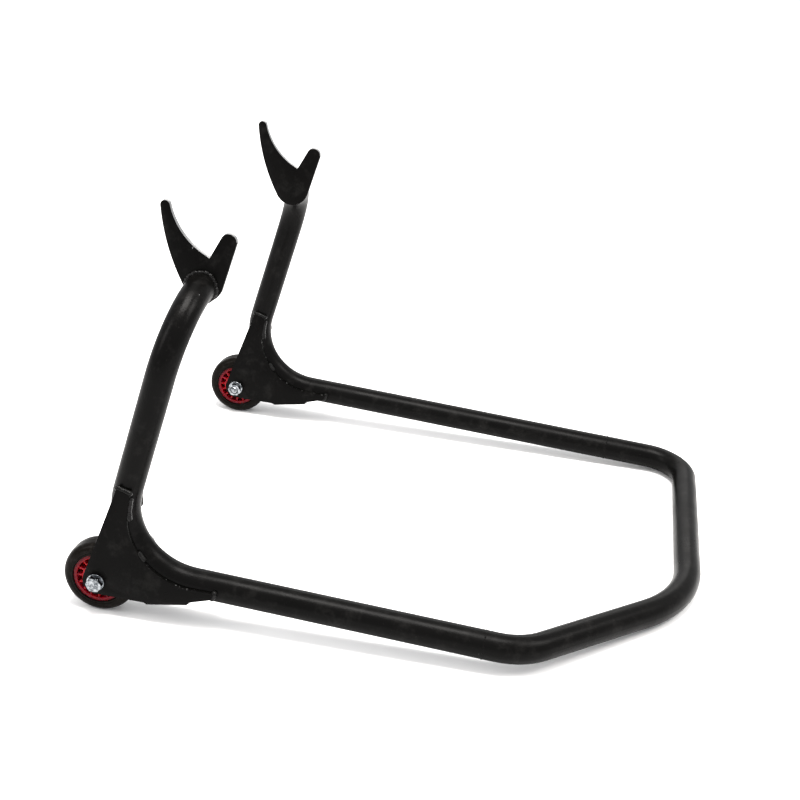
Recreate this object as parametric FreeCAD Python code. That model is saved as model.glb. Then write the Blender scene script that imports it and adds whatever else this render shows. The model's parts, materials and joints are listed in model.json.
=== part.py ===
import FreeCAD, Part
import math
import os

# Paddock stand: a bent round-tube frame with two V hooks, rolling on two small wheels.
# Millimetres, +Z up.  +X runs toward the push handle, -Y is the left side.
# Lengths along X are first measured from the wheel axle and shifted to the centre on export.

# wheels
WHEEL_R = 33.5
WHEEL_HALF = 12.0          # half of the tyre width
TYRE_CROWN_HALF = 5.0      # half of the flat tread
TYRE_SHOULDER_R = 7.0
HUB_R = 23.0
HUB_RIM_R = 20.0
HUB_RIM_HALF = 10.8
HUB_BOSS_R = 14.5
HUB_WEB_HALF = 2.5
HUB_RIBS = 16
HUB_RIB_T = 1.6
HUB_RIB_HALF = 9.6

# 608 bearings
BEARING_R = 11.0
BEARING_BORE_R = 4.0
BEARING_W = 7.0
INNER_RACE_R = 6.2
OUTER_RACE_BORE_R = 9.2
BALL_PITCH_R = 7.7
BALL_R = 1.98
BALL_COUNT = 7
INNER_GROOVE_R = 2.3
SHIELD_BORE_R = 6.5
SHIELD_T = 0.5
SHIELD_INSET = 0.4
HUB_SHOULDER_R = 9.5

# axle hardware, M8
BOLT_R = 3.95
BOLT_LENGTH = 45.0
BOLT_TIP_CHAMFER = 1.0
HEX_FLATS = 13.0
HEAD_H = 5.3
WASHER_R = 8.0
WASHER_BORE_R = 4.2
WASHER_T = 1.6
NUT_H = 6.5
SLEEVE_R = 6.0
SLEEVE_BORE_R = 4.2

# tube frame
TUBE_R = 13.0
TUBE_WALL = 2.0
SIDE_Y = 225.4             # side tube centre from the mid plane
HANDLE_X = 525.0           # crossbar centre behind the axle
LEG_FALL = 0.0585          # drop of the leg per unit length toward the handle
UPRIGHT_X = 29.9           # upright centre line at UPRIGHT_Z
UPRIGHT_Z = 147.0
UPRIGHT_LEAN = 0.2473      # run toward the handle per unit of height
HOOK_TUBE_Z = 291.5        # height of the tube end on the hook plate
FOOT_BEND_R = 67.0
TOP_BEND_R = 62.0
CHAMFER_X = 378.6          # left leg turns inward here
CHAMFER_END_Y = -78.8
CHAMFER_BEND_R = 56.0
CHAMFER_END_BEND_R = 136.0
SQUARE_BEND_R = 43.0
LEFT_JOINT_X = 345.0       # butt joint of side tube and handle tube
RIGHT_JOINT_X = 435.0
JOINT_BEAD_H = 0.4
JOINT_BEAD_HALF = 2.0

# plates
HOOK_T = 5.0
HOOK_Y = 159.0             # hook plate centre from the mid plane
GUSSET_T = 4.0
AXLE_HOLE_R = 4.1
GUSSET_NOSE_R = 12.5
HOOK_WELD_LEG = 4.0
BEAD_R = 2.4

CENTRE_SHIFT = (WHEEL_R - HANDLE_X - TUBE_R) / 2
OUT = FreeCAD.Vector(0, -1, 0)     # outboard direction of the left side


def vec(x, y, z):
    return FreeCAD.Vector(x, y, z)


def unit(vector):
    return FreeCAD.Vector(vector).normalize()


def leg_z(x):
    return TUBE_R + (HANDLE_X - x) * LEG_FALL


def upright_x(z):
    return UPRIGHT_X + (z - UPRIGHT_Z) * UPRIGHT_LEAN


def foot_corner():
    """Crossing point (x, z) of the leg and upright centre lines."""
    drop = leg_z(UPRIGHT_X - UPRIGHT_Z * UPRIGHT_LEAN)
    z = drop / (1 + LEG_FALL * UPRIGHT_LEAN)
    return upright_x(z), z


def disc(centre, axis, radius):
    return Part.Face(Part.Wire(Part.makeCircle(radius, centre, axis)))


def tube_section(centre, axis, bore):
    outer = disc(centre, axis, TUBE_R)
    if bore <= 0:
        return outer
    return outer.cut(disc(centre, axis, bore)).Faces[0]


def bent_tube(corners, radii, bore):
    """Round tube through the corner points; each inner corner is rounded by its radius."""
    pieces = []
    start = corners[0]
    for index, radius in enumerate(radii, 1):
        corner = corners[index]
        back = unit(corners[index - 1] - corner)
        ahead = unit(corners[index + 1] - corner)
        half = back.getAngle(ahead) / 2
        bend_start = corner + back * (radius / math.tan(half))
        bend_end = corner + ahead * (radius / math.tan(half))
        centre = corner + unit(back + ahead) * (radius / math.sin(half))
        axis = (bend_start - centre).cross(bend_end - centre)
        turn = math.degrees(math.pi - 2 * half)
        section = tube_section(start, back, bore)
        pieces.append(section.extrude(bend_start - start))
        pieces.append(tube_section(bend_start, back, bore).revolve(centre, axis, turn))
        start = bend_end
    run = corners[-1] - start
    pieces.append(tube_section(start, run, bore).extrude(run))
    return pieces[0].multiFuse(pieces[1:]).removeSplitter().Solids[0]


def left_side_tube(bore):
    """Hook end, upright, foot bend and the front stretch of the left leg."""
    foot_x, foot_z = foot_corner()
    top_x = upright_x(HOOK_TUBE_Z)
    corners = [
        vec(top_x, -HOOK_Y - HOOK_T / 2, HOOK_TUBE_Z),
        vec(top_x, -SIDE_Y, HOOK_TUBE_Z),
        vec(foot_x, -SIDE_Y, foot_z),
        vec(LEFT_JOINT_X, -SIDE_Y, leg_z(LEFT_JOINT_X)),
    ]
    return bent_tube(corners, [TOP_BEND_R, FOOT_BEND_R], bore)


def right_side_tube():
    """Mirror of the left side with a longer leg."""
    foot_x, foot_z = foot_corner()
    top_x = upright_x(HOOK_TUBE_Z)
    corners = [
        vec(top_x, HOOK_Y + HOOK_T / 2, HOOK_TUBE_Z),
        vec(top_x, SIDE_Y, HOOK_TUBE_Z),
        vec(foot_x, SIDE_Y, foot_z),
        vec(RIGHT_JOINT_X, SIDE_Y, leg_z(RIGHT_JOINT_X)),
    ]
    return bent_tube(corners, [TOP_BEND_R, FOOT_BEND_R], TUBE_R - TUBE_WALL)


def handle_tube():
    """Push handle: slanted run on the left, crossbar, square bend into the right leg."""
    corners = [
        vec(LEFT_JOINT_X, -SIDE_Y, leg_z(LEFT_JOINT_X)),
        vec(CHAMFER_X, -SIDE_Y, leg_z(CHAMFER_X)),
        vec(HANDLE_X, CHAMFER_END_Y, TUBE_R),
        vec(HANDLE_X, SIDE_Y, TUBE_R),
        vec(RIGHT_JOINT_X, SIDE_Y, leg_z(RIGHT_JOINT_X)),
    ]
    radii = [CHAMFER_BEND_R, CHAMFER_END_BEND_R, SQUARE_BEND_R]
    return bent_tube(corners, radii, TUBE_R - TUBE_WALL)


def joint_bead(x, y):
    """Low ring of weld around a leg at a butt joint."""
    along = unit(vec(1, 0, -LEG_FALL))
    start = vec(x, y, leg_z(x)) - along * JOINT_BEAD_HALF
    ring = Part.makeCylinder(TUBE_R + JOINT_BEAD_H, 2 * JOINT_BEAD_HALF, start, along)
    return ring.cut(Part.makeCylinder(TUBE_R, 2 * JOINT_BEAD_HALF, start, along))


def plate(edges, y, thickness):
    """Flat plate in the XZ plane, its inboard face at y, thickened outboard (left side)."""
    outline = Part.Face(Part.Wire(Part.__sortEdges__(edges)))
    outline.translate(vec(0, y, 0))
    return outline.extrude(OUT * thickness)


def line(a, b):
    return Part.makeLine(vec(a[0], 0, a[1]), vec(b[0], 0, b[1]))


def arc(a, b, c):
    return Part.Arc(vec(a[0], 0, a[1]), vec(b[0], 0, b[1]), vec(c[0], 0, c[1])).toShape()


def polar(centre, radius, degrees):
    angle = math.radians(degrees)
    return centre[0] + radius * math.cos(angle), centre[1] + radius * math.sin(angle)


def hook_edges():
    """Two-horned hook: long front horn, short rear horn, sharp V between them."""
    base, base_r = (66.4, 295.2), 17.7
    long_tip, long_r = (32.0, 359.1), 4.4
    short_tip, short_r = (87.9, 334.0), 7.1
    notch = (71.6, 317.9)
    long_left = polar(long_tip, long_r, 183)
    long_right = polar(long_tip, long_r, 22)
    short_left = polar(short_tip, short_r, 150)
    short_right = polar(short_tip, short_r, -16)
    base_left = polar(base, base_r, 205)
    base_right = polar(base, base_r, -18)
    return [
        arc(long_left, polar(long_tip, long_r, 100), long_right),
        arc(long_right, (47.2, 337.0), notch),
        line(notch, short_left),
        arc(short_left, polar(short_tip, short_r, 68), short_right),
        line(short_right, base_right),
        arc(base_right, polar(base, base_r, 270), base_left),
        arc(base_left, (34.9, 323.4), long_left),
    ]


def gusset_edges():
    """Side plate from the axle nose up the upright and back along the leg."""
    nose = (0.0, WHEEL_R)
    top = (18.5, 128.3)
    reach = math.hypot(top[0] - nose[0], top[1] - nose[1])
    toward_top = math.degrees(math.atan2(top[1] - nose[1], top[0] - nose[0]))
    tangent = toward_top + math.degrees(math.acos(GUSSET_NOSE_R / reach))
    front = polar(nose, GUSSET_NOSE_R, tangent)
    bottom = polar(nose, GUSSET_NOSE_R, 270)
    rim = [(31.1, 124.4), (28.9, 108.7)]
    lower = [(84.2, 39.7), (106.8, 39.2), (104.9, 33.6), (86.3, 27.8),
             (82.9, 24.5), (46.8, 18.4), (43.9, 19.9), bottom]
    edges = [line(front, top), line(top, rim[0]), line(rim[0], rim[1])]
    edges.append(arc(rim[1], (43.8, 60.1), lower[0]))
    edges += [line(a, b) for a, b in zip(lower, lower[1:])]
    edges.append(arc(bottom, polar(nose, GUSSET_NOSE_R, 200), front))
    return edges


def gusset(y):
    body = plate(gusset_edges(), y, GUSSET_T)
    hole = Part.makeCylinder(AXLE_HOLE_R, GUSSET_T, vec(0, y, WHEEL_R), OUT)
    return body.cut(hole)


def hook():
    return plate(hook_edges(), -HOOK_Y + HOOK_T / 2, HOOK_T)


def hook_weld():
    """Fillet weld around the tube end, kept to the hook plate's outline."""
    face_y = -HOOK_Y - HOOK_T / 2
    x = upright_x(HOOK_TUBE_Z)
    cone = Part.makeCone(TUBE_R + HOOK_WELD_LEG, TUBE_R, HOOK_WELD_LEG, vec(x, face_y, HOOK_TUBE_Z), OUT)
    bore = Part.makeCylinder(TUBE_R, HOOK_WELD_LEG, vec(x, face_y, HOOK_TUBE_Z), OUT)
    reach = plate(hook_edges(), face_y, HOOK_WELD_LEG)
    return cone.cut(bore).common(reach).cut(left_side_tube(0)).Solids[0]


def bead(points, y):
    """Run of weld through (x, z) points at height y on the plate edge."""
    centres = [vec(x, y, z) for x, z in points]
    parts = [Part.makeSphere(BEAD_R, centre) for centre in centres]
    for a, b in zip(centres, centres[1:]):
        parts.append(Part.makeCylinder(BEAD_R, (b - a).Length, a, b - a))
    return parts[0].multiFuse(parts[1:])


def gusset_welds(plates):
    """Stitch welds between the tube and both side plates."""
    runs = [
        [(19.0, 128.5), (30.1, 125.0)],
        [(30.4, 119.5), (29.1, 108.7), (29.7, 100.6)],
        [(38.4, 67.2), (42.4, 61.9)],
        [(107.0, 38.7), (105.5, 34.2)],
    ]
    tube = left_side_tube(0)
    solids = []
    for offset in (TUBE_R + 1.2, -TUBE_R - 1.2):
        for run in runs:
            shape = bead(run, -SIDE_Y - offset).cut(tube)
            for side_plate in plates:
                shape = shape.cut(side_plate)
            solids.append(max(shape.Solids, key=lambda solid: solid.Volume))
    return Part.makeCompound(solids)


def turned(profile):
    """Revolve (radius, outboard offset) points about the left axle."""
    points = [vec(radius, -SIDE_Y - offset, WHEEL_R) for radius, offset in profile]
    wire = Part.makePolygon(points + points[:1])
    return Part.Face(wire).revolve(vec(0, 0, WHEEL_R), vec(0, 1, 0), 360)


def ring(inner, outer, start, end):
    return turned([(inner, start), (outer, start), (outer, end), (inner, end)])


def tyre():
    """Rubber tyre with a flat tread and round shoulders."""
    def at(radius, offset):
        return vec(radius, -SIDE_Y - offset, WHEEL_R)

    middle = TYRE_SHOULDER_R * (1 - math.sqrt(0.5))
    low = WHEEL_R - TYRE_SHOULDER_R
    edges = [
        Part.makeLine(at(HUB_R, -WHEEL_HALF), at(low, -WHEEL_HALF)),
        Part.Arc(at(low, -WHEEL_HALF), at(WHEEL_R - middle, middle - WHEEL_HALF),
                 at(WHEEL_R, -TYRE_CROWN_HALF)).toShape(),
        Part.makeLine(at(WHEEL_R, -TYRE_CROWN_HALF), at(WHEEL_R, TYRE_CROWN_HALF)),
        Part.Arc(at(WHEEL_R, TYRE_CROWN_HALF), at(WHEEL_R - middle, WHEEL_HALF - middle),
                 at(low, WHEEL_HALF)).toShape(),
        Part.makeLine(at(low, WHEEL_HALF), at(HUB_R, WHEEL_HALF)),
        Part.makeLine(at(HUB_R, WHEEL_HALF), at(HUB_R, -WHEEL_HALF)),
    ]
    return Part.Face(Part.Wire(edges)).revolve(vec(0, 0, WHEEL_R), vec(0, 1, 0), 360)


def hub():
    """Moulded hub: boss with bearing seats, centre web, rim and radial ribs."""
    seat = WHEEL_HALF - BEARING_W
    body = turned([
        (HUB_SHOULDER_R, -seat), (BEARING_R, -seat), (BEARING_R, -WHEEL_HALF),
        (HUB_BOSS_R, -WHEEL_HALF), (HUB_BOSS_R, -HUB_WEB_HALF), (HUB_RIM_R, -HUB_WEB_HALF),
        (HUB_RIM_R, -HUB_RIM_HALF), (HUB_R, -HUB_RIM_HALF), (HUB_R, HUB_RIM_HALF),
        (HUB_RIM_R, HUB_RIM_HALF), (HUB_RIM_R, HUB_WEB_HALF), (HUB_BOSS_R, HUB_WEB_HALF),
        (HUB_BOSS_R, WHEEL_HALF), (BEARING_R, WHEEL_HALF), (BEARING_R, seat),
        (HUB_SHOULDER_R, seat),
    ])
    length = HUB_RIM_R - HUB_BOSS_R + 2
    ribs = []
    for index in range(HUB_RIBS):
        rib = Part.makeBox(length, 2 * HUB_RIB_HALF, HUB_RIB_T)
        rib.translate(vec(HUB_BOSS_R - 1, -SIDE_Y - HUB_RIB_HALF, WHEEL_R - HUB_RIB_T / 2))
        rib.rotate(vec(0, 0, WHEEL_R), vec(0, 1, 0), index * 360 / HUB_RIBS)
        ribs.append(rib)
    return body.multiFuse(ribs).Solids[0]


def bearing_offsets():
    """Outboard offsets of the two bearing centres from the wheel's middle."""
    middle = WHEEL_HALF - BEARING_W / 2
    return -middle, middle


def groove(offset, radius):
    return Part.makeTorus(BALL_PITCH_R, radius, vec(0, -SIDE_Y - offset, WHEEL_R), OUT)


def race_pair(inner, outer, groove_r):
    races = []
    for offset in bearing_offsets():
        race = ring(inner, outer, offset - BEARING_W / 2, offset + BEARING_W / 2)
        races.append(race.cut(groove(offset, groove_r)).Solids[0])
    return Part.makeCompound(races)


def shields():
    """Dust shields on both faces of both bearings."""
    inset = BEARING_W / 2 - SHIELD_INSET
    rings = []
    for offset in bearing_offsets():
        rings.append(ring(SHIELD_BORE_R, OUTER_RACE_BORE_R, offset + inset - SHIELD_T, offset + inset))
        rings.append(ring(SHIELD_BORE_R, OUTER_RACE_BORE_R, offset - inset, offset - inset + SHIELD_T))
    return Part.makeCompound(rings)


def balls():
    spheres = []
    for offset in bearing_offsets():
        for index in range(BALL_COUNT):
            x, z = polar((0, WHEEL_R), BALL_PITCH_R, index * 360 / BALL_COUNT)
            spheres.append(Part.makeSphere(BALL_R, vec(x, -SIDE_Y - offset, z)))
    return Part.makeCompound(spheres)


def hexagon(start, height):
    """Hexagonal prism on the left axle, outboard from start."""
    corner = HEX_FLATS / math.sqrt(3)
    points = []
    for index in range(7):
        x, z = polar((0, WHEEL_R), corner, index * 60)
        points.append(vec(x, -SIDE_Y - start, z))
    return Part.Face(Part.makePolygon(points)).extrude(OUT * height)


def rounded_hexagon(start, height, outboard_end):
    """Hexagon whose free end is chamfered to a circle."""
    slope = 0.6
    wide = HEX_FLATS / math.sqrt(3) + 1
    drop = (wide - HEX_FLATS / 2 + 0.2) * slope
    tip = HEX_FLATS / 2 - 0.2
    if outboard_end:
        profile = [(0, start), (wide, start), (wide, start + height - drop), (tip, start + height), (0, start + height)]
    else:
        profile = [(0, start), (tip, start), (wide, start + drop), (wide, start + height), (0, start + height)]
    return hexagon(start, height).common(turned(profile))


def plate_face():
    return TUBE_R + GUSSET_T


def bolt():
    """M8 hexagon bolt, head outboard."""
    seat = plate_face() + WASHER_T
    tip = seat - BOLT_LENGTH
    shank = turned([
        (0, seat), (BOLT_R, seat), (BOLT_R, tip + BOLT_TIP_CHAMFER),
        (BOLT_R - BOLT_TIP_CHAMFER, tip), (0, tip),
    ])
    return rounded_hexagon(seat, HEAD_H, True).fuse(shank).removeSplitter().Solids[0]


def nut():
    """Plain hexagon nut, inboard."""
    seat = -plate_face() - WASHER_T
    body = rounded_hexagon(seat - NUT_H, NUT_H, False)
    return body.cut(ring(0, BOLT_R, seat - NUT_H, seat)).Solids[0]


def washers():
    face = plate_face()
    outboard = ring(WASHER_BORE_R, WASHER_R, face, face + WASHER_T)
    inboard = ring(WASHER_BORE_R, WASHER_R, -face - WASHER_T, -face)
    return Part.makeCompound([outboard, inboard])


def axle_sleeve():
    """Spacer between the two inner races."""
    half = WHEEL_HALF - BEARING_W
    return ring(SLEEVE_BORE_R, SLEEVE_R, -half, half)


def side_spacers():
    """Thin rings between the inner races and the side plates."""
    outboard = ring(SLEEVE_BORE_R, SLEEVE_R, WHEEL_HALF, TUBE_R)
    inboard = ring(SLEEVE_BORE_R, SLEEVE_R, -TUBE_R, -WHEEL_HALF)
    return Part.makeCompound([outboard, inboard])


def save(name, shape):
    placed = shape.copy()
    placed.translate(vec(CENTRE_SHIFT, 0, 0))
    placed.exportStep(os.path.join("parts", name + ".step"))


def save_pair(name, shape):
    """Save a left-side piece and its mirror image on the right."""
    save("left_" + name, shape)
    save("right_" + name, shape.mirror(vec(0, 0, 0), vec(0, 1, 0)))


def main():
    os.makedirs("parts", exist_ok=True)
    save("left_side_tube", left_side_tube(TUBE_R - TUBE_WALL))
    save("right_side_tube", right_side_tube())
    save("handle_tube", handle_tube())
    joints = [joint_bead(LEFT_JOINT_X, -SIDE_Y), joint_bead(RIGHT_JOINT_X, SIDE_Y)]
    save("handle_joint_welds", Part.makeCompound(joints))

    outer_gusset = gusset(-SIDE_Y - TUBE_R)
    inner_gusset = gusset(-SIDE_Y + TUBE_R + GUSSET_T)
    save_pair("hook", hook())
    save_pair("hook_weld", hook_weld())
    save_pair("gusset_outer", outer_gusset)
    save_pair("gusset_inner", inner_gusset)
    save_pair("gusset_welds", gusset_welds([outer_gusset, inner_gusset]))

    save_pair("tyre", tyre())
    save_pair("hub", hub())
    save_pair("bearing_outer_races", race_pair(OUTER_RACE_BORE_R, BEARING_R, BALL_R))
    save_pair("bearing_inner_races", race_pair(BEARING_BORE_R, INNER_RACE_R, INNER_GROOVE_R))
    save_pair("bearing_shields", shields())
    save_pair("bearing_balls", balls())
    save_pair("axle_bolt", bolt())
    save_pair("axle_nut", nut())
    save_pair("axle_washers", washers())
    save_pair("axle_sleeve", axle_sleeve())
    save_pair("axle_spacers", side_spacers())


main()
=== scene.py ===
import json
import math

import bmesh
import bpy
import numpy as np
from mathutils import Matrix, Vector, noise


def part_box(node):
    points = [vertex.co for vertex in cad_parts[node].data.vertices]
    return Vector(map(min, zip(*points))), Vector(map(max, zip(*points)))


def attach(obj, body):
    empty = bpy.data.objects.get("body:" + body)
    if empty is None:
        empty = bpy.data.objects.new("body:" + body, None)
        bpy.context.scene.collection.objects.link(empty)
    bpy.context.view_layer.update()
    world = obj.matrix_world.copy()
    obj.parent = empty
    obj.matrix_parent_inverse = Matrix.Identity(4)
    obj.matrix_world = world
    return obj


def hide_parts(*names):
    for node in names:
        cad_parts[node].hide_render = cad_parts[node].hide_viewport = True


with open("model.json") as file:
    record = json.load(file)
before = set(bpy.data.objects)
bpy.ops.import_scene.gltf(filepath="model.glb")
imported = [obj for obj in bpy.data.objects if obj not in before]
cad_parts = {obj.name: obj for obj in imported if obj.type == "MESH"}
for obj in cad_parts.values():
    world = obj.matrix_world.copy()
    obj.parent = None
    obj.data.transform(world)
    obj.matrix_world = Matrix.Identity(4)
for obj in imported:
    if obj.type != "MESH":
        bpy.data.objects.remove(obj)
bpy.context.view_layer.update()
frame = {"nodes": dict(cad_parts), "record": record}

MM = 0.001
SIDES = {"left": -1, "right": 1}      # sign of the outboard direction along Y
LEVEL_AXIS = Vector((0, 1, 0))


# ---------------------------------------------------------------- positions

def centre(node):
    low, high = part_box(node)
    return (low + high) / 2


def vertex_places(mesh):
    found = np.zeros(len(mesh.vertices) * 3)
    mesh.vertices.foreach_get("co", found)
    return found.reshape(-1, 3)


def points(node):
    return vertex_places(frame["nodes"][node].data)


AXLE = {side: centre(side + "_tyre") for side in SIDES}


def placed(name, data):
    """A new object in the scene."""
    thing = bpy.data.objects.new(name, data)
    bpy.context.scene.collection.objects.link(thing)
    return thing


def outboard(side, node):
    """Lowest and highest distance of a node from its wheel's middle, positive outboard."""
    low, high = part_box(f"{side}_{node}")
    ends = [(y - AXLE[side].y) * SIDES[side] for y in (low.y, high.y)]
    return min(ends), max(ends)


# ---------------------------------------------------------------- materials

class Nodes:
    """Small builder for a material's node tree."""

    def __init__(self, name):
        self.material = bpy.data.materials.new(name)
        self.material.use_nodes = True
        self.tree = self.material.node_tree
        self.shader = self.tree.nodes["Principled BSDF"]
        self.place = self.add("ShaderNodeTexCoord").outputs["Object"]

    def add(self, kind, **inputs):
        node = self.tree.nodes.new(kind)
        for key, value in inputs.items():
            self.put(node.inputs[key.replace("_", " ")], value)
        return node

    def put(self, socket, value):
        if isinstance(value, bpy.types.NodeSocket):
            self.tree.links.new(value, socket)
        else:
            socket.default_value = value

    def stretched(self, scale):
        """Object coordinates scaled by a different amount along each axis."""
        node = self.add("ShaderNodeMapping", Vector=self.place)
        node.inputs["Scale"].default_value = scale
        return node.outputs["Vector"]

    def noise(self, scale, detail=3.0, roughness=0.5, where=None):
        node = self.add("ShaderNodeTexNoise", Scale=scale, Detail=detail, Roughness=roughness)
        self.put(node.inputs["Vector"], where or self.place)
        return node.outputs["Fac"]

    def mark(self, name):
        """A number painted on the mesh in code, 0 where a mesh has none."""
        node = self.tree.nodes.new("ShaderNodeAttribute")
        node.attribute_name = name
        return node.outputs["Fac"]

    def span(self, value, low, high, to_low=0.0, to_high=1.0):
        node = self.tree.nodes.new("ShaderNodeMapRange")
        self.put(node.inputs["Value"], value)
        ends = {"From Min": low, "From Max": high, "To Min": to_low, "To Max": to_high}
        for key, number in ends.items():
            node.inputs[key].default_value = number
        return node.outputs["Result"]

    def maths(self, operation, a, b=0.0):
        node = self.tree.nodes.new("ShaderNodeMath")
        node.operation = operation
        self.put(node.inputs[0], a)
        self.put(node.inputs[1], b)
        return node.outputs[0]

    def mix(self, factor, a, b):
        node = self.tree.nodes.new("ShaderNodeMix")
        node.data_type = "RGBA"
        self.put(node.inputs["Factor"], factor)
        self.put(node.inputs["A"], a)
        self.put(node.inputs["B"], b)
        return node.outputs["Result"]

    def bump(self, height, strength, distance, base=None):
        node = self.add("ShaderNodeBump", Strength=strength, Distance=distance)
        self.put(node.inputs["Height"], height)
        if base:
            self.put(node.inputs["Normal"], base)
        return node.outputs["Normal"]

    def finish(self, **sockets):
        for key, value in sockets.items():
            self.put(self.shader.inputs[key.replace("_", " ")], value)
        return self.material


def grey(value, warm=0.0):
    return (value * (1 + warm), value, value * (1 - warm), 1.0)


def paint_material(name, lumps=0.25, gloss_low=0.24, level=0.045):
    """Satin black paint: orange peel, uneven gloss, faint dust, small chips, and worn edges whose bare
    metal is also laid where edges face the light, as a painted highlight.
    """
    n = Nodes(name)
    colour = n.mix(n.noise(9.0, 4.0), grey(0.0013, 0.04), grey(0.0026, 0.06))
    dust = n.span(n.noise(60.0, 6.0, 0.7), 0.52, 0.85)
    colour = n.mix(n.maths("MULTIPLY", dust, 0.3), colour, grey(0.03, 0.05))
    specks = n.span(n.noise(1400.0, 1.0), 0.80, 0.84)
    colour = n.mix(n.maths("MULTIPLY", specks, 0.5), colour, grey(0.10, 0.05))
    chips = n.span(n.noise(330.0, 1.0), 0.845, 0.855)
    patches = n.span(n.noise(240.0, 5.0, 0.7), 0.3, 0.7, -0.3, 0.3)
    # bare metal from the mesh mark: real wear on edges, plus painted highlight on edges that face the
    # light
    worn_and_highlit = n.span(n.maths("ADD", n.mark("wear_and_highlight"), patches), 0.45, 0.7)
    bare_metal_and_highlight = n.maths("MAXIMUM", chips, worn_and_highlit)
    colour = n.mix(bare_metal_and_highlight, colour, n.mix(n.noise(500.0, 3.0), grey(0.20), grey(0.40)))
    scratches = n.span(n.noise(55.0, 2.0, 0.6, n.stretched((1.0, 16.0, 16.0))), 0.66, 0.72)
    gloss = n.span(n.noise(22.0, 5.0), 0.3, 0.7, gloss_low, gloss_low + 0.15)
    gloss = n.maths("ADD", gloss, n.maths("MULTIPLY", scratches, 0.12))
    normal = n.bump(n.noise(700.0, 2.0), 0.22, 0.4 * MM)
    normal = n.bump(n.noise(110.0, 3.0), lumps, 0.3 * MM, normal)
    normal = n.bump(n.noise(28.0, 1.0), 0.35, 0.8 * MM, normal)
    return n.finish(Base_Color=colour, Roughness=gloss, Normal=normal, Metallic=bare_metal_and_highlight,
                    Specular_IOR_Level=level)


def rubber_material():
    """Black moulded rubber, faintly scuffed."""
    n = Nodes("tyre_rubber")
    cloud = n.noise(45.0, 6.0, 0.65)
    scuffs = n.span(n.noise(260.0, 4.0, 0.7), 0.52, 0.8)
    colour = n.mix(cloud, grey(0.0015, 0.25), grey(0.0035, 0.30))
    colour = n.mix(n.maths("MULTIPLY", scuffs, 0.35), colour, grey(0.03, 0.08))
    gloss = n.span(cloud, 0.3, 0.7, 0.24, 0.38)
    normal = n.bump(n.noise(1500.0, 3.0, 0.7), 0.2, 0.3 * MM)
    return n.finish(Base_Color=colour, Roughness=gloss, Normal=normal, Specular_IOR_Level=0.04)


HUB_SHADE_FROM = 18.5 * MM     # radius where the hub's rim starts to darken
HUB_SHADE_TO = 22.5 * MM


def hub_material():
    """Glossy red moulded plastic, slightly cloudy, with painted shade darkening the rim's outer edge
    next to the tyre.
    """
    n = Nodes("hub_red_plastic")
    cloud = n.noise(80.0, 4.0)
    colour = n.mix(cloud, (0.13, 0.002, 0.007, 1.0), (0.25, 0.004, 0.011, 1.0))
    axle = centre("left_hub")
    place = n.add("ShaderNodeSeparateXYZ", Vector=n.place)
    forward = n.maths("SUBTRACT", place.outputs["X"], axle.x)
    up = n.maths("SUBTRACT", place.outputs["Z"], axle.z)
    squares = n.maths("ADD", n.maths("POWER", forward, 2.0), n.maths("POWER", up, 2.0))
    # painted shade: the rim darkens outward between HUB_SHADE_FROM and HUB_SHADE_TO, next to the tyre
    painted_rim_shade = n.span(n.maths("SQRT", squares), HUB_SHADE_FROM, HUB_SHADE_TO, 0.0, 0.75)
    colour = n.mix(painted_rim_shade, colour, (0.04, 0.001, 0.004, 1.0))
    gloss = n.span(n.noise(200.0, 4.0), 0.3, 0.7, 0.18, 0.32)
    normal = n.bump(n.noise(350.0, 2.0), 0.12, 0.3 * MM)
    return n.finish(Base_Color=colour, Roughness=gloss, Normal=normal, Subsurface_Weight=0.7,
                    Subsurface_Radius=(1.0, 0.08, 0.05), Subsurface_Scale=8 * MM,
                    Specular_IOR_Level=0.1)


def plated_material(name, low, high, tint, gloss):
    """Bright steel with a stained, cloudy film and fine marks."""
    n = Nodes(name)
    film = n.span(n.noise(360.0, 4.0, 0.6), 0.40, 0.58)
    colour = n.mix(film, grey(low, tint), grey(high, tint / 2))
    rough = n.span(n.noise(700.0, 4.0, 0.7), 0.3, 0.7, gloss, gloss + 0.16)
    normal = n.bump(n.noise(1800.0, 2.0), 0.12, 0.2 * MM)
    return n.finish(Base_Color=colour, Roughness=rough, Normal=normal, Metallic=1.0)


PAINT = paint_material("satin_black_paint")
PLATE_PAINT = paint_material("plate_black_paint", level=0.03)
WELD_PAINT = paint_material("painted_weld", lumps=0.7, gloss_low=0.22, level=0.12)
RUBBER = rubber_material()
HUB = hub_material()
ZINC = plated_material("zinc_plate", 0.07, 0.32, -0.10, 0.10)
STEEL = plated_material("ground_steel", 0.42, 0.6, 0.0, 0.2)
BY_SLOT = {"black_paint": PAINT, "tyre_black": RUBBER, "hub_red": HUB,
           "zinc_plate": ZINC, "bearing_steel": STEEL}


# ---------------------------------------------------------------- mesh helpers

def piece(name, mesh, material, body, nodes):
    """A finished piece, riding on its body and standing for its CAD nodes."""
    thing = placed(name, mesh)
    mesh.materials.clear()
    mesh.materials.append(material)
    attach(thing, body)
    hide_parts(*nodes)


def soften(bm, sharp_degrees):
    """Outward normals and smooth shading, with edges sharper than the angle left crisp."""
    bmesh.ops.recalc_face_normals(bm, faces=bm.faces)
    limit = math.radians(sharp_degrees)
    for face in bm.faces:
        face.smooth = True
    for edge in bm.edges:
        edge.smooth = len(edge.link_faces) == 2 and edge.calc_face_angle(0) < limit


def mesh_from(name, verts, faces, sharp_degrees=35):
    mesh = bpy.data.meshes.new(name)
    mesh.from_pydata([tuple(v) for v in verts], [], faces)
    bm = bmesh.new()
    bm.from_mesh(mesh)
    bmesh.ops.remove_doubles(bm, verts=bm.verts, dist=1e-7)
    soften(bm, sharp_degrees)
    bm.to_mesh(mesh)
    bm.free()
    return mesh


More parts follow.
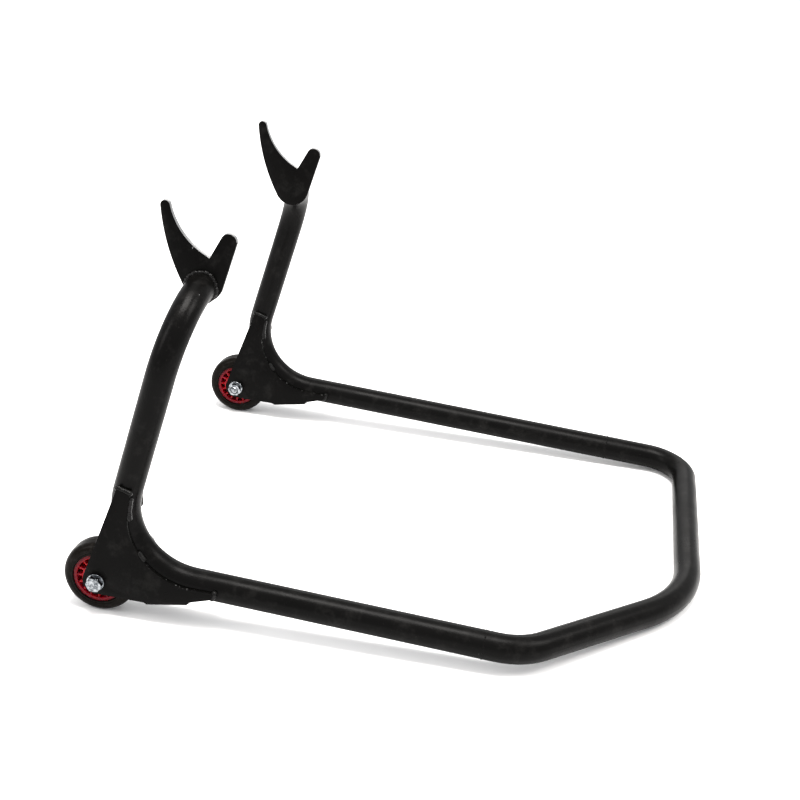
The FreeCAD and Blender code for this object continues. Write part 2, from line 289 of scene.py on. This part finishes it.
def joined(name, meshes):
    """One mesh from several."""
    bm = bmesh.new()
    for mesh in meshes:
        bm.from_mesh(mesh)
    out = bpy.data.meshes.new(name)
    bm.to_mesh(out)
    bm.free()
    return out


def grid_faces(rows, columns, closed_rows):
    """Quads of a grid whose columns close on themselves, and its rows too if asked."""
    faces = []
    for row in range(rows if closed_rows else rows - 1):
        after = (row + 1) % rows
        for column in range(columns):
            beside = (column + 1) % columns
            faces.append((row * columns + column, row * columns + beside,
                          after * columns + beside, after * columns + column))
    return faces


def worn_plate(node, width, wear_and_highlight=lambda normal: 0.0):
    """A CAD node with rounded edges; the given function of each face's normal says how bare it is, the
    bare metal standing for wear and for a painted highlight on edges that face the light.
    """
    mesh = frame["nodes"][node].data.copy()
    bm = bmesh.new()
    bm.from_mesh(mesh)
    bmesh.ops.remove_doubles(bm, verts=bm.verts, dist=2e-6)
    bmesh.ops.dissolve_limit(bm, angle_limit=math.radians(1), verts=bm.verts, edges=bm.edges)
    edges = [e for e in bm.edges if len(e.link_faces) == 2 and e.calc_face_angle(0) > math.radians(30)]
    bmesh.ops.bevel(bm, geom=edges, offset=width, offset_type="OFFSET", segments=2,
                    profile=0.5, affect="EDGES", clamp_overlap=True)
    soften(bm, 40)
    # one mark for real wear and painted highlight together
    layer = bm.faces.layers.float.new("wear_and_highlight")
    for face in bm.faces:
        face[layer] = wear_and_highlight(face.normal)
    bm.to_mesh(mesh)
    bm.free()
    return mesh


def turned_point(origin, side, radius, offset, turn):
    """A point on a circle about the Y line through origin; radius and offset in mm."""
    return origin + MM * Vector((radius * math.cos(turn), offset * side, radius * math.sin(turn)))


def lathe(name, origin, side, profile, segments=128, sharp=35, closed=True):
    """Revolves (radius, outboard offset) points, in mm, about the Y line through origin."""
    verts = []
    for step in range(segments):
        turn = 2 * math.pi * step / segments
        for radius, offset in profile:
            verts.append(turned_point(origin, side, radius, offset, turn))
    count = len(profile)
    faces = []
    for step in range(segments):
        for index in range(count if closed else count - 1):
            after = (index + 1) % count
            beside = (step + 1) % segments
            faces.append((step * count + index, step * count + after,
                          beside * count + after, beside * count + index))
    return mesh_from(name, verts, faces, sharp)


def rounded(a, b, corner, radius, steps=3):
    """Points that round a corner between directions to a and b, all (radius, offset) pairs."""
    corner, a, b = Vector(corner), Vector(a), Vector(b)
    start = corner + (a - corner).normalized() * radius
    end = corner + (b - corner).normalized() * radius
    return [tuple(start.lerp(corner, t).lerp(corner.lerp(end, t), t))
            for t in (i / steps for i in range(steps + 1))]


def rounded_loop(corners, radius):
    """A closed profile with every corner rounded."""
    out = []
    for index, corner in enumerate(corners):
        out += rounded(corners[index - 1], corners[(index + 1) % len(corners)], corner, radius)
    return out


# ---------------------------------------------------------------- welds

def remeshed(mesh, voxel):
    """An even, closed copy of a mesh, for sculpting in code."""
    thing = placed("remesh", mesh)
    change = thing.modifiers.new("remesh", "REMESH")
    change.mode = "VOXEL"
    change.voxel_size = voxel
    graph = bpy.context.evaluated_depsgraph_get()
    out = bpy.data.meshes.new_from_object(thing.evaluated_get(graph))
    bpy.data.objects.remove(thing)
    return out


def loose_parts(mesh):
    """The lowest vertex number in each vertex's own loose part."""
    ends = np.zeros(len(mesh.edges) * 2, int)
    mesh.edges.foreach_get("vertices", ends)
    a, b = ends.reshape(-1, 2).T
    label = np.arange(len(mesh.vertices))
    while True:
        lowest = np.minimum(label[a], label[b])
        after = label.copy()
        np.minimum.at(after, a, lowest)
        np.minimum.at(after, b, lowest)
        after = after[after]
        if (after == label).all():
            return label
        label = after


def ripple(phase):
    """Height 0 to 1 of overlapping weld scales: a slow rise and a quick fall."""
    part = phase % 1.0
    return math.sin(math.pi * part ** 1.6)


def stitch_beads(node):
    """The node's short welds, each rippled along its length and a little lumpy."""
    mesh = remeshed(frame["nodes"][node].data.copy(), 0.4 * MM)
    label = loose_parts(mesh)
    co = vertex_places(mesh)
    normals = np.array([v.normal for v in mesh.vertices])
    for number in np.unique(label):
        mine = np.flatnonzero(label == number)
        middle = co[mine].mean(0)
        axis = np.linalg.eigh(np.cov((co[mine] - middle).T))[1][:, 2]
        for index in mine:
            away = co[index] - middle
            along = away @ axis
            aside = np.linalg.norm(away - along * axis)
            wave = ripple(along / (1.7 * MM) + 60 * aside)
            lump = noise.noise(Vector(co[index]) * 330)
            co[index] += normals[index] * MM * (0.12 + 0.30 * wave + 0.35 * lump)
    mesh.vertices.foreach_set("co", co.ravel())
    bm = bmesh.new()
    bm.from_mesh(mesh)
    bmesh.ops.smooth_vert(bm, verts=bm.verts, factor=0.5,
                          use_axis_x=True, use_axis_y=True, use_axis_z=True)
    soften(bm, 80)
    bm.to_mesh(mesh)
    bm.free()
    return mesh


def ring_bead(name, middle, axis, ring_r, bead_r, pitch, lump, wobble):
    """A rippled weld laid right round a tube; sizes in mm."""
    axis = Vector(axis).normalized()
    across = axis.orthogonal().normalized()
    other = axis.cross(across)
    around, section = 288, 14
    verts = []
    for step in range(around):
        turn = 2 * math.pi * step / around
        radial = across * math.cos(turn) + other * math.sin(turn)
        drift = noise.noise(middle * 90 + radial * 1.3) * wobble
        for index in range(section):
            lean = 2 * math.pi * index / section
            phase = turn * ring_r / pitch + 0.22 * math.cos(lean * 2)
            spot = middle + radial * ring_r * MM
            thick = bead_r * (0.86 + 0.16 * ripple(phase) + lump * noise.noise(spot * 260 + radial))
            verts.append(middle + MM * (radial * (ring_r + drift + thick * math.cos(lean))
                                        + axis * thick * math.sin(lean)))
    return mesh_from(name, verts, grid_faces(around, section, True), 80)


def tube_end(side):
    """Centre of the tube's end on its hook plate."""
    low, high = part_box(side + "_hook")
    face = low.y if SIDES[side] < 0 else high.y
    near = points(side + "_side_tube")
    near = near[abs(near[:, 1] - face) < 0.2 * MM]
    x, z = (near[:, [0, 2]].min(0) + near[:, [0, 2]].max(0)) / 2
    return Vector((x, face, z))


def ring_frames(node):
    """Centre and axis of each loose ring of a node."""
    co = points(node)
    found = []
    for side in SIDES.values():
        mine = co[co[:, 1] * side > 0]
        middle = (mine.min(0) + mine.max(0)) / 2
        axis = np.linalg.eigh(np.cov((mine - mine.mean(0)).T))[1][:, 0]
        found.append((Vector(middle), Vector(axis)))
    return found


# ---------------------------------------------------------------- fasteners

# M8 hardware, millimetres
HEX_FLATS = 13.0
CHAMFER_TIP_R = HEX_FLATS / 2 - 0.25
CHAMFER_SLOPE = 0.577          # tangent of 30 degrees
BOLT_R = 3.95
PITCH = 1.25
THREAD_DEPTH = 0.62
THREAD_LENGTH = 14.0
RUN_OUT = 2.0                  # the thread fades out over this length
TIP_R = BOLT_R - 0.95
HEAD_DISH = 0.35
NUT_BORE_R = BOLT_R + 0.02
WASHER_T = 1.6
WASHER_R = 8.0
WASHER_BORE_R = 4.2


def hexagon_r(turn):
    return HEX_FLATS / 2 / math.cos(turn % (math.pi / 3) - math.pi / 6)


def hex_rings(origin, side, rings, segments=144):
    """Rings of a hexagon lathe: (offset, radius) pairs, each cut to the hexagon if larger."""
    verts = []
    for offset, radius in rings:
        for step in range(segments):
            turn = 2 * math.pi * step / segments
            reach = min(radius, hexagon_r(turn))
            verts.append(turned_point(origin, side, reach, offset, turn))
    return verts, segments


def chamfer_rings(start, toward, tip_r, steps=9):
    """(offset, radius) rings of the 30 degree chamfer, from the flat face at start inward."""
    rise = HEX_FLATS / math.sqrt(3) + 0.05 - tip_r
    return [(start + toward * CHAMFER_SLOPE * rise * i / steps, tip_r + rise * i / steps)
            for i in range(steps + 1)]


def bolt_mesh(side):
    """Hexagon bolt: chamfered head with a shallow dish, plain shank, rolled thread at the tip."""
    origin, sign = AXLE[side], SIDES[side]
    tip, top = (v / MM for v in outboard(side, "axle_bolt"))
    seat = outboard(side, "axle_washers")[1] / MM
    rings = [(top - HEAD_DISH, 0.001), (top - HEAD_DISH, 3.6), (top - 0.30, 4.4)]
    rings += [(top - 0.05, 5.5), (top, 5.8)]
    rings += chamfer_rings(top, -1, CHAMFER_TIP_R)
    rings += [(seat + 0.25, HEX_FLATS), (seat, HEX_FLATS - 0.2), (seat, BOLT_R), (seat, 0.001)]
    verts, segments = hex_rings(origin, sign, rings)
    head = mesh_from("head", verts, grid_faces(len(rings), segments, False), 25)
    thread_end = tip + THREAD_LENGTH
    rows = int((thread_end - tip) / (PITCH / 10))
    verts, segments = [], 72
    for row in range(rows + 1):
        offset = tip + (thread_end - tip) * row / rows
        for step in range(segments):
            turn = 2 * math.pi * step / segments
            wave = abs(((offset / PITCH - turn * sign / (2 * math.pi)) % 1.0) * 2 - 1)
            run_out = min(1.0, (thread_end - offset) / RUN_OUT)
            reach = BOLT_R - THREAD_DEPTH * min(1, max(0, wave * 1.3 - 0.15)) * run_out
            reach = min(reach, TIP_R + (offset - tip))
            verts.append(turned_point(origin, sign, reach, offset, turn))
    faces = grid_faces(rows + 1, segments, False) + [tuple(range(segments))]
    thread = mesh_from("thread", verts, faces, 50)
    shank = lathe("shank", origin, sign, [(BOLT_R, thread_end), (BOLT_R, seat)], 72, closed=False)
    return joined("bolt", [head, thread, shank])


def nut_mesh(side):
    """Plain hexagon nut with chamfered faces and a countersunk thread."""
    low, high = (v / MM for v in outboard(side, "axle_nut"))
    rings = [(high, NUT_BORE_R), (high, CHAMFER_TIP_R)] + chamfer_rings(high, -1, CHAMFER_TIP_R)[:3]
    rings += chamfer_rings(low, 1, CHAMFER_TIP_R)[::-1]
    rings += [(low, 4.75), (low + 0.75, NUT_BORE_R)]
    verts, segments = hex_rings(AXLE[side], SIDES[side], rings)
    return mesh_from("nut", verts, grid_faces(len(rings), segments, True), 25)


def washer_mesh(side):
    """Two flat washers with rolled edges, one against each side plate."""
    low, high = (v / MM for v in outboard(side, "axle_washers"))
    meshes = []
    for start in (low, high - WASHER_T):
        end = start + WASHER_T
        loop = [(WASHER_BORE_R, start), (WASHER_R, start), (WASHER_R, end), (WASHER_BORE_R, end)]
        meshes.append(lathe("washer", AXLE[side], SIDES[side], rounded_loop(loop, 0.35), 96, 60))
    return joined("washers", meshes)


# ---------------------------------------------------------------- wheels

SHOULDER_R = 7.0


def tyre_mesh(side):
    """Tyre with round shoulders, a parting line round the tread and a lip at the hub."""
    radius = (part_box(side + "_tyre")[1].z - AXLE[side].z) / MM
    half = outboard(side, "tyre")[1] / MM
    hub_r = (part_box(side + "_hub")[1].z - AXLE[side].z) / MM
    face = [(hub_r, half - 1.4), (hub_r + 0.3, half - 0.5), (hub_r + 0.8, half), (hub_r + 1.5, half),
            (hub_r + 1.8, half - 0.35), (hub_r + 2.3, half - 0.45), (hub_r + 2.8, half - 0.15)]
    face += [(radius - 0.25 - SHOULDER_R * (1 - math.sin(t)), half - SHOULDER_R * (1 - math.cos(t)))
             for t in (math.radians(a) for a in range(0, 91, 6))]
    face += [(radius - 0.12, 2.5), (radius - 0.1, 0.42), (radius, 0.26)]
    profile = face + [(r, -offset) for r, offset in reversed(face)]
    return lathe("tyre", AXLE[side], SIDES[side], profile, 192, 30)


# ---------------------------------------------------------------- building

def dress_cad_nodes():
    """Each CAD node gets the material of its slot in the record."""
    slots = {row["node"]: row["material_slot"] for row in frame["record"]["subparts"]}
    for node, thing in frame["nodes"].items():
        thing.data.materials.clear()
        thing.data.materials.append(BY_SLOT[slots[node]])


def hook_wear_and_highlight(normal):
    """Bare metal where the swingarm bobbins rub, and more of it on the edges that face up, as a
    painted highlight.
    """
    if abs(normal.y) > 0.9:
        return 0.0
    # facing up gives more bare metal: painted highlight where the top light falls
    upward = min(1.0, max(0.0, (normal.z + 0.15) / 0.3))
    return 0.25 + 0.55 * upward * upward * (3 - 2 * upward)


def gusset_wear_and_highlight(normal):
    """Thin, rubbed paint along the edges, and thinner still on those that face up and back, as a
    painted highlight.
    """
    if abs(normal.y) > 0.9:
        return 0.0
    # edges facing up and back get more bare metal: painted highlight
    return 0.30 if normal.x + normal.z > 0.5 else 0.2


def build_frame():
    for side in SIDES:
        piece(side + "_hook_plate", worn_plate(side + "_hook", 0.45 * MM, hook_wear_and_highlight),
              PLATE_PAINT, "frame", [side + "_hook"])
        for part in ("gusset_outer", "gusset_inner"):
            piece(f"{side}_{part}_plate", worn_plate(f"{side}_{part}", 0.35 * MM, gusset_wear_and_highlight),
                  PLATE_PAINT, "frame", [f"{side}_{part}"])
        seam = tube_end(side) + Vector((0, SIDES[side] * 0.8 * MM, 0))
        bead = ring_bead("bead", seam, LEVEL_AXIS,
                         ring_r=13.0, bead_r=2.3, pitch=2.6, lump=0.5, wobble=1.3)
        piece(side + "_hook_weld_bead", bead, WELD_PAINT, "frame", [side + "_hook_weld"])
        piece(side + "_gusset_weld_beads", stitch_beads(side + "_gusset_welds"),
              WELD_PAINT, "frame", [side + "_gusset_welds"])
    rings = [ring_bead("ring", middle, axis, ring_r=12.5, bead_r=0.9, pitch=2.1, lump=0.3, wobble=0.15)
             for middle, axis in ring_frames("handle_joint_welds")]
    piece("handle_joint_weld_rings", joined("rings", rings), PAINT, "frame",
          ["handle_joint_welds"])


def build_wheels():
    for side in SIDES:
        wheel = side + "_wheel"
        piece(side + "_tyre_rubber", tyre_mesh(side), RUBBER, wheel, [side + "_tyre"])
        piece(side + "_hub_moulding", worn_plate(side + "_hub", 0.25 * MM),
              HUB, wheel, [side + "_hub"])
        piece(side + "_bolt_threaded", bolt_mesh(side), ZINC, "frame",
              [side + "_axle_bolt"])
        piece(side + "_nut_chamfered", nut_mesh(side), ZINC, "frame",
              [side + "_axle_nut"])
        piece(side + "_washer_pair", washer_mesh(side), ZINC, "frame",
              [side + "_axle_washers"])


# ---------------------------------------------------------------- camera, light, floor

# the photo's viewpoint: lens in mm, place in metres, turn as a quaternion
CAMERA_LENS = 62.93
CAMERA_PLACE = (0.13804, -1.25270, 0.70039)
CAMERA_TURN = (0.832944, 0.545376, 0.011953, 0.092875)
LAMP_COLOUR = (1.0, 0.97, 0.94)
ROOM_COLOUR = (0.985, 0.99, 1.0, 1.0)
ROOM_STRENGTH = 1.1
FLOOR_HALF = 20.0
SOFT_BOXES = {     # place, point it faces, size, watts
    "top_box": ((-0.05, -0.25, 2.2), (-0.05, 0.0, 0.1), (1.1, 0.8), 78),
    "back_box": ((-0.3, 2.4, 1.5), (0.0, 0.0, 0.2), (2.2, 0.8), 17),
    "left_box": ((-1.7, -1.1, 1.5), (0.0, -0.1, 0.25), (0.5, 1.2), 18),
    "right_box": ((1.5, -0.1, 1.8), (-0.1, -0.2, 0.05), (0.9, 0.9), 32),
}


def camera():
    data = bpy.data.cameras.new("camera")
    data.lens = CAMERA_LENS
    data.sensor_width = 36.0
    data.clip_start, data.clip_end = 0.05, 60.0
    thing = placed("camera", data)
    thing.location = CAMERA_PLACE
    thing.rotation_mode = "QUATERNION"
    thing.rotation_quaternion = CAMERA_TURN
    bpy.context.scene.camera = thing


def softbox(name, place, aim, size, power):
    data = bpy.data.lights.new(name, "AREA")
    data.shape = "RECTANGLE"
    data.size, data.size_y = size
    data.energy = power
    data.color = LAMP_COLOUR
    thing = placed(name, data)
    thing.location = place
    thing.rotation_mode = "QUATERNION"
    thing.rotation_quaternion = (Vector(aim) - Vector(place)).to_track_quat("-Z", "Y")


def studio():
    """Evenly lit pale room with four soft boxes for the highlights along the tubes."""
    scene = bpy.context.scene
    scene.view_settings.view_transform = "Standard"
    world = bpy.data.worlds.new("studio")
    world.use_nodes = True
    background = world.node_tree.nodes["Background"]
    background.inputs["Color"].default_value = ROOM_COLOUR
    background.inputs["Strength"].default_value = ROOM_STRENGTH
    scene.world = world
    for name, (place, aim, size, power) in SOFT_BOXES.items():
        softbox(name, place, aim, size, power)


def floor():
    n = Nodes("pale_floor")
    colour = n.mix(n.noise(3.0), grey(0.90), grey(0.93))
    n.finish(Base_Color=colour, Roughness=0.95, Specular_IOR_Level=0.1)
    near, far = -FLOOR_HALF, FLOOR_HALF
    corners = [(near, near, 0), (far, near, 0), (far, far, 0), (near, far, 0)]
    mesh = bpy.data.meshes.new("floor")
    mesh.from_pydata(corners, [], [(0, 1, 2, 3)])
    mesh.materials.append(n.material)
    placed("floor", mesh)


dress_cad_nodes()
build_frame()
build_wheels()
camera()
studio()
floor()
